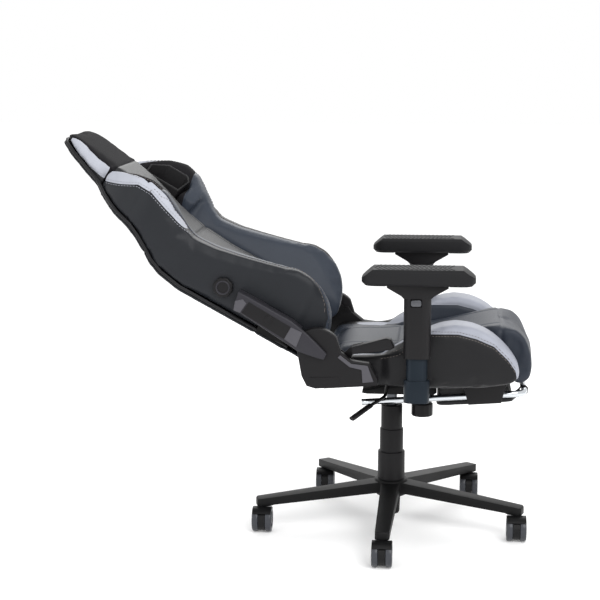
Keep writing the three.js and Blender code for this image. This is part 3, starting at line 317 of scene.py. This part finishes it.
def spun(profile, axis, centre, steps=56):
    """A closed profile of (radius, place along the axis) points, turned about that axis."""
    shape = bmesh.new()
    across = Vector((0, 0, 1)) if abs(axis.z) < 0.9 else Vector((1, 0, 0))
    points = [shape.verts.new(centre + (across * r + axis * a) * MM) for r, a in profile]
    edges = [shape.edges.new((points[i], points[(i + 1) % len(points)])) for i in range(len(points))]
    bmesh.ops.spin(shape, geom=points + edges, cent=centre, axis=axis, angle=2 * math.pi,
                   steps=steps, use_merge=True)
    bmesh.ops.remove_doubles(shape, verts=shape.verts, dist=1e-6)
    bmesh.ops.recalc_face_normals(shape, faces=shape.faces)
    return shape


# ---- Padded pieces ----
def evaluated_mesh(thing):
    graph = bpy.context.evaluated_depsgraph_get()
    return bpy.data.meshes.new_from_object(thing.evaluated_get(graph))


def foam_form(name, node, voxel, shrink, rounds):
    """The node's shape, a little smaller, remeshed evenly and with its edges eased."""
    shape = node_shape(node)
    mesh = bpy.data.meshes.new(name)
    shape.to_mesh(mesh)
    shape.free()
    form = bpy.data.objects.new(name, mesh)
    bpy.context.collection.objects.link(form)
    remesh = form.modifiers.new("even_faces", "REMESH")
    remesh.mode = "VOXEL"
    remesh.voxel_size = voxel * MM
    even = evaluated_mesh(form)
    form.modifiers.clear()
    form.data = even
    eased = bmesh.new()
    eased.from_mesh(even)
    for _ in range(rounds):
        bmesh.ops.smooth_vert(eased, verts=eased.verts, factor=0.5,
                                use_axis_x=True, use_axis_y=True, use_axis_z=True)
    eased.normal_update()
    for corner in eased.verts:
        corner.co -= corner.normal * shrink * MM
    eased.to_mesh(even)
    eased.free()
    return form


def swell(form, pressure, cap):
    """Blows the cover up over its foam, and keeps each point within the cap."""
    start = [corner.co.copy() for corner in form.data.vertices]
    cloth = form.modifiers.new("cover", "CLOTH")
    cloth.settings.quality = 5
    cloth.settings.mass = 0.3
    cloth.settings.tension_stiffness = 20
    cloth.settings.compression_stiffness = 20
    cloth.settings.bending_stiffness = 4
    cloth.settings.use_pressure = True
    cloth.settings.uniform_pressure_force = pressure
    cloth.settings.effector_weights.gravity = 0
    cloth.collision_settings.use_collision = False
    for step in range(1, CLOTH_FRAMES + 1):
        bpy.context.scene.frame_set(step)
    swollen = evaluated_mesh(form)
    form.modifiers.clear()
    for before, corner in zip(start, swollen.vertices):
        moved = corner.co - before
        if moved.length > cap * MM:
            corner.co = before + moved.normalized() * cap * MM
    form.data = swollen
    bpy.context.scene.frame_set(1)


def sew(form, zones, groove=2.2, width=4.0):
    """Subdivides once, stores how far each point is inside each panel, and sinks the seams."""
    finer = form.modifiers.new("finer", "SUBSURF")
    finer.levels = finer.render_levels = 1
    mesh = evaluated_mesh(form)
    form.modifiers.clear()
    form.data = mesh
    panels = ("inner_mm", "suede_mm", "stripe_mm")
    layers = {key: mesh.attributes.new(key, "FLOAT", "POINT") for key in panels}
    normals = [corner.normal.copy() for corner in mesh.vertices]
    for corner, normal in zip(mesh.vertices, normals):
        inner, suede, stripe, seam = zones(corner.co)
        for key, value in (("inner_mm", inner), ("suede_mm", suede), ("stripe_mm", stripe)):
            layers[key].data[corner.index].value = max(-FAR, min(FAR, value))
        corner.co -= normal * groove * math.exp(-((seam / width) ** 2)) * MM


def back_zones(point):
    u, y, v = back_place(point)
    beyond = abs(y) - along(CREST, u)
    stripe = min(v - along(STRIPE_EDGE, u), beyond, u - 384)
    suede = min(-beyond, u - WING_SUEDE_FROM - 0.25 * v)
    crest_seam = abs(beyond) if v > 20 and u < 640 else FAR
    seam = min(crest_seam, abs(stripe) if u > 384 else FAR, abs(suede))
    return -beyond, suede, stripe, seam


def centre_zones(point):
    u, y, v = back_place(point)
    beyond = abs(y) - along(CREST, u)
    stripe = min(v - along(STRIPE_EDGE, u), beyond, u - 645)
    suede = min(-beyond, u - SUEDE_FROM)
    cross_seams = min(abs(u - SUEDE_FROM), abs(u - 120), abs(u - 400))
    long_seam = abs(abs(y) - 95) if u < 600 else FAR
    return -beyond, suede, stripe, min(cross_seams, abs(stripe) if u > 655 else FAR, long_seam)


def seat_side_zones(point):
    x, y, z = seat_place(point)
    stripe = z - along(SEAT_STRIPE_EDGE, x)
    stripe = min(stripe, max(x - 60, 215 - abs(y)))
    inner = 200 - abs(y)
    return inner, -FAR, stripe, abs(stripe)


def seat_pad_zones(point):
    x, y, z = seat_place(point)
    return FAR, -FAR, -FAR, min(abs(x - 265), abs(x - 20), abs(abs(y) - 95) if x < 265 else FAR)


def rear_zones(point):
    u, y, v = back_place(point)
    side_seam = abs(abs(y) - along([(60, 165), (470, 165), (600, 110), (780, 84)], u))
    return -FAR, -FAR, -FAR, min(side_seam, abs(u - 470), abs(u - 150))


def whole_zones(point):
    return -FAR, -FAR, -FAR, FAR


def cushion(name, node, material, body, zones, voxel=6.0, shrink=2.0, rounds=8, pressure=4.0, cap=6.0):
    form = foam_form(name, node, voxel, shrink, rounds)
    if pressure:
        swell(form, pressure, cap)
    sew(form, zones)
    for face in form.data.polygons:
        face.use_smooth = True
    form.data.materials.clear()
    form.data.materials.append(material)
    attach(form, body)
    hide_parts(node)
    return form


seat_cushion = cushion("seat_cushion", "seat_pad", seat_leather, "seat",
                       seat_pad_zones, cap=8)
back_cushion = cushion("back_cushion", "back_pad", centre_leather, "back", centre_zones,
                       rounds=5, cap=7)
rear_cover = cushion("back_rear_cover", "back_shell", back_leather, "back", rear_zones,
                     voxel=4.0, shrink=0, rounds=2, pressure=0)
footrest_cushion = cushion("footrest_cushion", "footrest_pad", footrest_leather, "footrest_pad",
                           whole_zones, voxel=4.0, shrink=0.2, rounds=2,
                           pressure=2.0, cap=2.0)
wings, bolsters = {}, {}
for hand in SIDES:
    wings[hand] = cushion(f"back_side_{hand}", f"back_wing_{hand}", back_leather, "back",
                          back_zones, rounds=6, cap=6)
    bolsters[hand] = cushion(f"seat_side_{hand}", f"seat_bolster_{hand}", seat_leather, "seat",
                             seat_side_zones, cap=6)


# ---- Stitching ----
def surface(form):
    shape = bmesh.new()
    shape.from_mesh(form.data)
    tree = BVHTree.FromBMesh(shape)
    shape.free()
    return tree


def stitch_row(shape, tree, places, aim, thick=0.6):
    """Short stitches laid on a surface along a row of places, each seen along the aim."""
    hits = []
    for place in places:
        found = tree.ray_cast(place - aim * 0.2, aim, 0.4)
        hits.append((found[0], found[1]) if found[0] is not None else None)
    for first, second in zip(hits, hits[1:]):
        if first is None or second is None or (second[0] - first[0]).length > 0.02:
            continue
        run = second[0] - first[0]
        if run.length < 1e-4:
            continue
        middle = (first[0] + second[0]) / 2 + first[1] * 0.2 * MM
        turn = run.to_track_quat("X", "Z").to_matrix().to_4x4()
        size = Matrix.Diagonal((run.length * 0.4, thick * MM, thick * MM, 1))
        bmesh.ops.create_uvsphere(shape, u_segments=6, v_segments=4, radius=1,
                                  matrix=Matrix.Translation(middle) @ turn @ size)


PITCH = 7  # mm from one stitch to the next
back_thread, pale_back_thread, seat_thread = bmesh.new(), bmesh.new(), bmesh.new()
for hand, side in SIDES.items():
    wing, bolster = surface(wings[hand]), surface(bolsters[hand])
    for off in (-5, 5):
        row = [on_back(u, side * (along(CREST, u) + off), 60) for u in range(10, 630, PITCH)]
        stitch_row(back_thread, wing, row, -BACK_OUT)
        row = [on_back(u, side * 250, along(STRIPE_EDGE, u) + off) for u in range(395, 648, PITCH)]
        stitch_row(pale_back_thread, wing, row, Vector((0, -side, 0)))
        row = [from_column(x, side * 250, along(SEAT_STRIPE_EDGE, x) + off) for x in range(-20, 296, PITCH)]
        stitch_row(seat_thread, bolster, row, Vector((0, -side, 0)))
piece("back_crest_stitching", back_thread, thread, "back")
piece("back_stripe_stitching", pale_back_thread, pale_thread, "back")
piece("seat_stripe_stitching", seat_thread, thread, "seat")


# ---- Casters ----
def wheel_shape(centre, side):
    inner, outer = WHEEL_INNER, WHEEL_INNER + WHEEL_WIDTH
    profile = [
        (AXLE_RADIUS, inner), (WHEEL_RADIUS - 3, inner), (WHEEL_RADIUS - 0.8, inner + 1.2),
        (WHEEL_RADIUS, inner + 4),
        (WHEEL_RADIUS, outer - 4), (WHEEL_RADIUS - 0.8, outer - 1.4), (WHEEL_RADIUS - 3, outer),
        (22, outer - 0.6), (20.5, outer - 3), (11, outer - 3), (9.5, outer - 0.6), (5, outer),
        (AXLE_RADIUS, outer - 0.5),
    ]
    return spun([(r, a * side) for r, a in profile], Vector((1, 0, 0)), centre)


for k in range(1, 6):
    centre = Vector(joints[f"caster_{k}_roll"]["pos_m"])
    for hand, side in (("right", 1), ("left", -1)):
        made = wheel_shape(centre, side)
        # the axle runs through both wheels and the body between them
        if side < 0:
            thin = AXLE_RADIUS - 0.1
            axle = spun([(0.01, -23), (thin, -23), (thin, 22), (0.01, 22)], Vector((1, 0, 0)), centre, 24)
            axle_mesh = bpy.data.meshes.new("axle")
            axle.to_mesh(axle_mesh)
            made.from_mesh(axle_mesh)
            axle.free()
        piece(f"caster_{k}_tyre_{hand}", made, wheel_rubber, f"caster_{k}_wheels",
              [f"caster_{k}_wheel_{hand}"])
    # the hood's shroud: a thin arc over both wheels, open at the floor
    band = bmesh.new()
    section = ((30.9, -23.5), (32.3, -23.5), (32.3, 23.5), (30.9, 23.5))
    ring = [band.verts.new(centre + Vector((a, 0, r)) * MM) for r, a in section]
    face = band.faces.new(ring)
    bmesh.ops.rotate(band, verts=band.verts, cent=centre, matrix=Matrix.Rotation(math.radians(-50), 3, "X"))
    bmesh.ops.spin(band, geom=[face, *band.edges, *band.verts], cent=centre, axis=(1, 0, 0),
                   angle=math.radians(100), steps=20)
    bmesh.ops.remove_doubles(band, verts=band.verts, dist=1e-6)
    bmesh.ops.recalc_face_normals(band, faces=band.faces)
    piece(f"caster_{k}_shroud", band, nylon, f"caster_{k}")

# ---- Column ----
UP = Vector((0, 0, 1))


def column_section(name, node, body, material, edge):
    """A turned tube on the column, with a rolled lip, in the node's own box."""
    low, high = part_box(node)
    radius = (high[0] - low[0]) / 2 / MM
    bottom, top = low[2] / MM, high[2] / MM
    profile = [
        (radius - edge, bottom), (radius, bottom), (radius, top - 2), (radius - 0.6, top - 0.6),
        (radius - 1.6, top), (radius - edge, top),
    ]
    piece(name, spun(profile, UP, COLUMN.copy()), material, body, [node])


column_section("column_cover_foot", "cover_lower", "base", black_plastic, 4)
column_section("column_cover_mid", "cover_middle", "cover_middle", black_plastic, 2.4)
column_section("column_cover_top", "cover_upper", "lift", black_plastic, 11)

# ---- Piping: a covered cord sewn in where the rear cover meets the sides ----
def bead(name, points, radius, material, body):
    curve = bpy.data.curves.new(name, "CURVE")
    curve.dimensions = "3D"
    curve.bevel_depth = radius * MM
    curve.bevel_resolution = 3
    curve.use_fill_caps = True
    line = curve.splines.new("POLY")
    line.points.add(len(points) - 1)
    for spot, point in zip(line.points, points):
        spot.co = (*point, 1)
    drawn = bpy.data.objects.new(name, curve)
    bpy.context.collection.objects.link(drawn)
    mesh = evaluated_mesh(drawn)
    bpy.data.objects.remove(drawn)
    shape = bmesh.new()
    shape.from_mesh(mesh)
    bmesh.ops.recalc_face_normals(shape, faces=shape.faces)
    piece(name, shape, material, body)


PIPING_RADIUS = 4
half = [(u, y, v) for u, y, v in REAR_EDGE]
whole = half + [(u, -y, v) for u, y, v in reversed(half[:-1])]
bead("back_edge_piping", [on_back(*at) for at in whole], PIPING_RADIUS, footrest_leather, "back")

low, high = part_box("lumbar_knob")
knob_face = Vector(((low[0] + high[0]) / 2, low[1], (low[2] + high[2]) / 2))
ring = spun([(13, -1), (17, -1), (17, 1), (15.8, 2), (14, 2), (13, 1)], Vector((0, -1, 0)), knob_face, 48)
piece("lumbar_knob_ring", ring, grey_plastic, "lumbar_knob")

# ---- Hard pieces with eased edges ----
EASED = {
    "star_base": ("base", powder_coat, "base_metal", 2.5),
    "mech_housing": ("mechanism", painted_steel, "frame_metal", 2.0),
    "tension_knob": ("tension_knob", black_plastic, "plastic_black", 0.5),
    "lift_lever": ("lift_lever", black_plastic, "plastic_black", 0.5),
    "seat_plate": ("seat", painted_steel, "frame_metal", 0.8),
    "seat_pan": ("seat", painted_steel, "frame_metal", 1.0),
    "recline_lever": ("recline_lever", black_plastic, "plastic_black", 2.0),
    "footrest_frame": ("footrest", chrome, "chrome", 0),
    "lumbar_knob": ("lumbar_knob", black_plastic, "plastic_black", 0.6),
}
for hand in SIDES:
    EASED.update({
        f"recliner_bracket_{hand}": ("seat", painted_steel, "frame_metal", 0.6),
        f"hinge_cover_{hand}": ("seat", black_plastic, "plastic_black", 2.0),
        f"footrest_guide_{hand}": ("seat", black_plastic, "plastic_black", 1.0),
        f"arm_post_{hand}": ("seat", post_paint, "arm_metal", 1.0),
        f"arm_sleeve_{hand}": (f"arm_sleeve_{hand}", black_plastic, "plastic_black", 1.5),
        f"arm_button_{hand}": (f"arm_button_{hand}", satin_steel, "button_metal", 0.5),
        f"arm_pad_{hand}": (f"arm_pad_{hand}", arm_foam, "armrest_pu", 2.5),
        f"arm_cover_{hand}": ("back", grey_plastic, "plastic_grey", 2.0),
        f"harness_trim_{hand}": ("back", black_plastic, "plastic_black", 0.8),
    })
for node, (body, material, slot, radius) in EASED.items():
    shape = softened(node, radius) if radius else node_shape(node)
    piece(f"{node}_eased", shape, material, body, [node])

PLAIN_NODES = {"gas_cylinder": powder_coat, "gas_piston": ground_steel, "back_frame": painted_steel}
for k in range(1, 6):
    PLAIN_NODES[f"caster_{k}_hood"] = nylon
for hand in SIDES:
    PLAIN_NODES[f"arm_turntable_{hand}"] = black_plastic
    PLAIN_NODES[f"arm_slide_{hand}"] = ground_steel
for node, material in PLAIN_NODES.items():
    nodes[node].data.materials.clear()
    nodes[node].data.materials.append(material)

# ---- Armrest ribs: chevrons moulded in the pad's top ----
RIB_PITCH = 0.0105
for hand, side in SIDES.items():
    low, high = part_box(f"arm_pad_{hand}")
    middle = (low[1] + high[1]) / 2
    ribs = bmesh.new()
    start, end = low[0] + 0.036, high[0] - 0.044
    count = int((end - start) / RIB_PITCH)
    for n in range(count):
        for lean in (-1, 1):
            place = Vector((start + n * RIB_PITCH, middle + lean * 0.0185, high[2]))
            size = Matrix.Diagonal((0.0048, 0.037, 0.0024, 1))
            skew = Matrix.Identity(4)
            skew[0][1] = lean * 0.35
            bmesh.ops.create_cube(ribs, size=1, matrix=Matrix.Translation(place) @ skew @ size)
    bmesh.ops.bevel(ribs, geom=ribs.edges[:], offset=0.0008, offset_type="OFFSET", segments=1, profile=0.5,
                    affect="EDGES", clamp_overlap=True, material=-1)
    piece(f"arm_pad_ribs_{hand}", ribs, arm_foam, f"arm_pad_{hand}")

# ---- Hinge and arm covers: rims, blank recess, window and screw cap ----
for hand, side in SIDES.items():
    face = side * HINGE_FACE
    rim = plate([(-60, 421), (-34, 424), (-48, 462), (-86, 466),
                 (-112, 486), (-118, 480), (-90, 458), (-62, 452)], face, face + side * 2.5, 0.9)
    piece(f"hinge_cover_rim_{hand}", rim, pale_plastic_and_highlight, "seat")
    blank = plate([(-182, 414), (-112, 417), (-114, 434), (-184, 431)],
                  face - side * 0.5, face + side * 1.2, 0.5)
    piece(f"hinge_cover_blank_{hand}", blank, black_plastic, "seat")
    outer = side * ARM_COVER_FACE
    window = plate([(-324, 610), (-226, 552), (-242, 524), (-341, 584)],
                   outer - side * 1, outer + side * 1.6, 0.6)
    piece(f"arm_cover_window_{hand}", window, black_plastic, "back")
    cap_place = from_column(-278, outer + side * 1.4, 569)
    cap = spun([(0.01, 0), (9, 0), (9, 1.6), (8, 2.4), (0.01, 2.4)], Vector((0, side, 0)), cap_place, 36)
    piece(f"arm_cover_screw_cap_{hand}", cap, black_plastic, "back")
    # pale plates at both ends of the window: painted highlight where the bevelled facets catch the light
    upper_facet_highlight = plate([(-356, 612), (-338, 616), (-330, 606), (-345, 584), (-360, 590)],
                        outer - side, outer + side * 1.2, 0.4)
    piece(f"arm_cover_upper_facet_{hand}", upper_facet_highlight, pale_plastic_and_highlight, "back")
    lower_facet_highlight = plate([(-226, 552), (-200, 540), (-214, 505), (-242, 524)],
                        outer - side, outer + side * 1.2, 0.4)
    piece(f"arm_cover_lower_facet_{hand}", lower_facet_highlight, pale_plastic_and_highlight, "back")
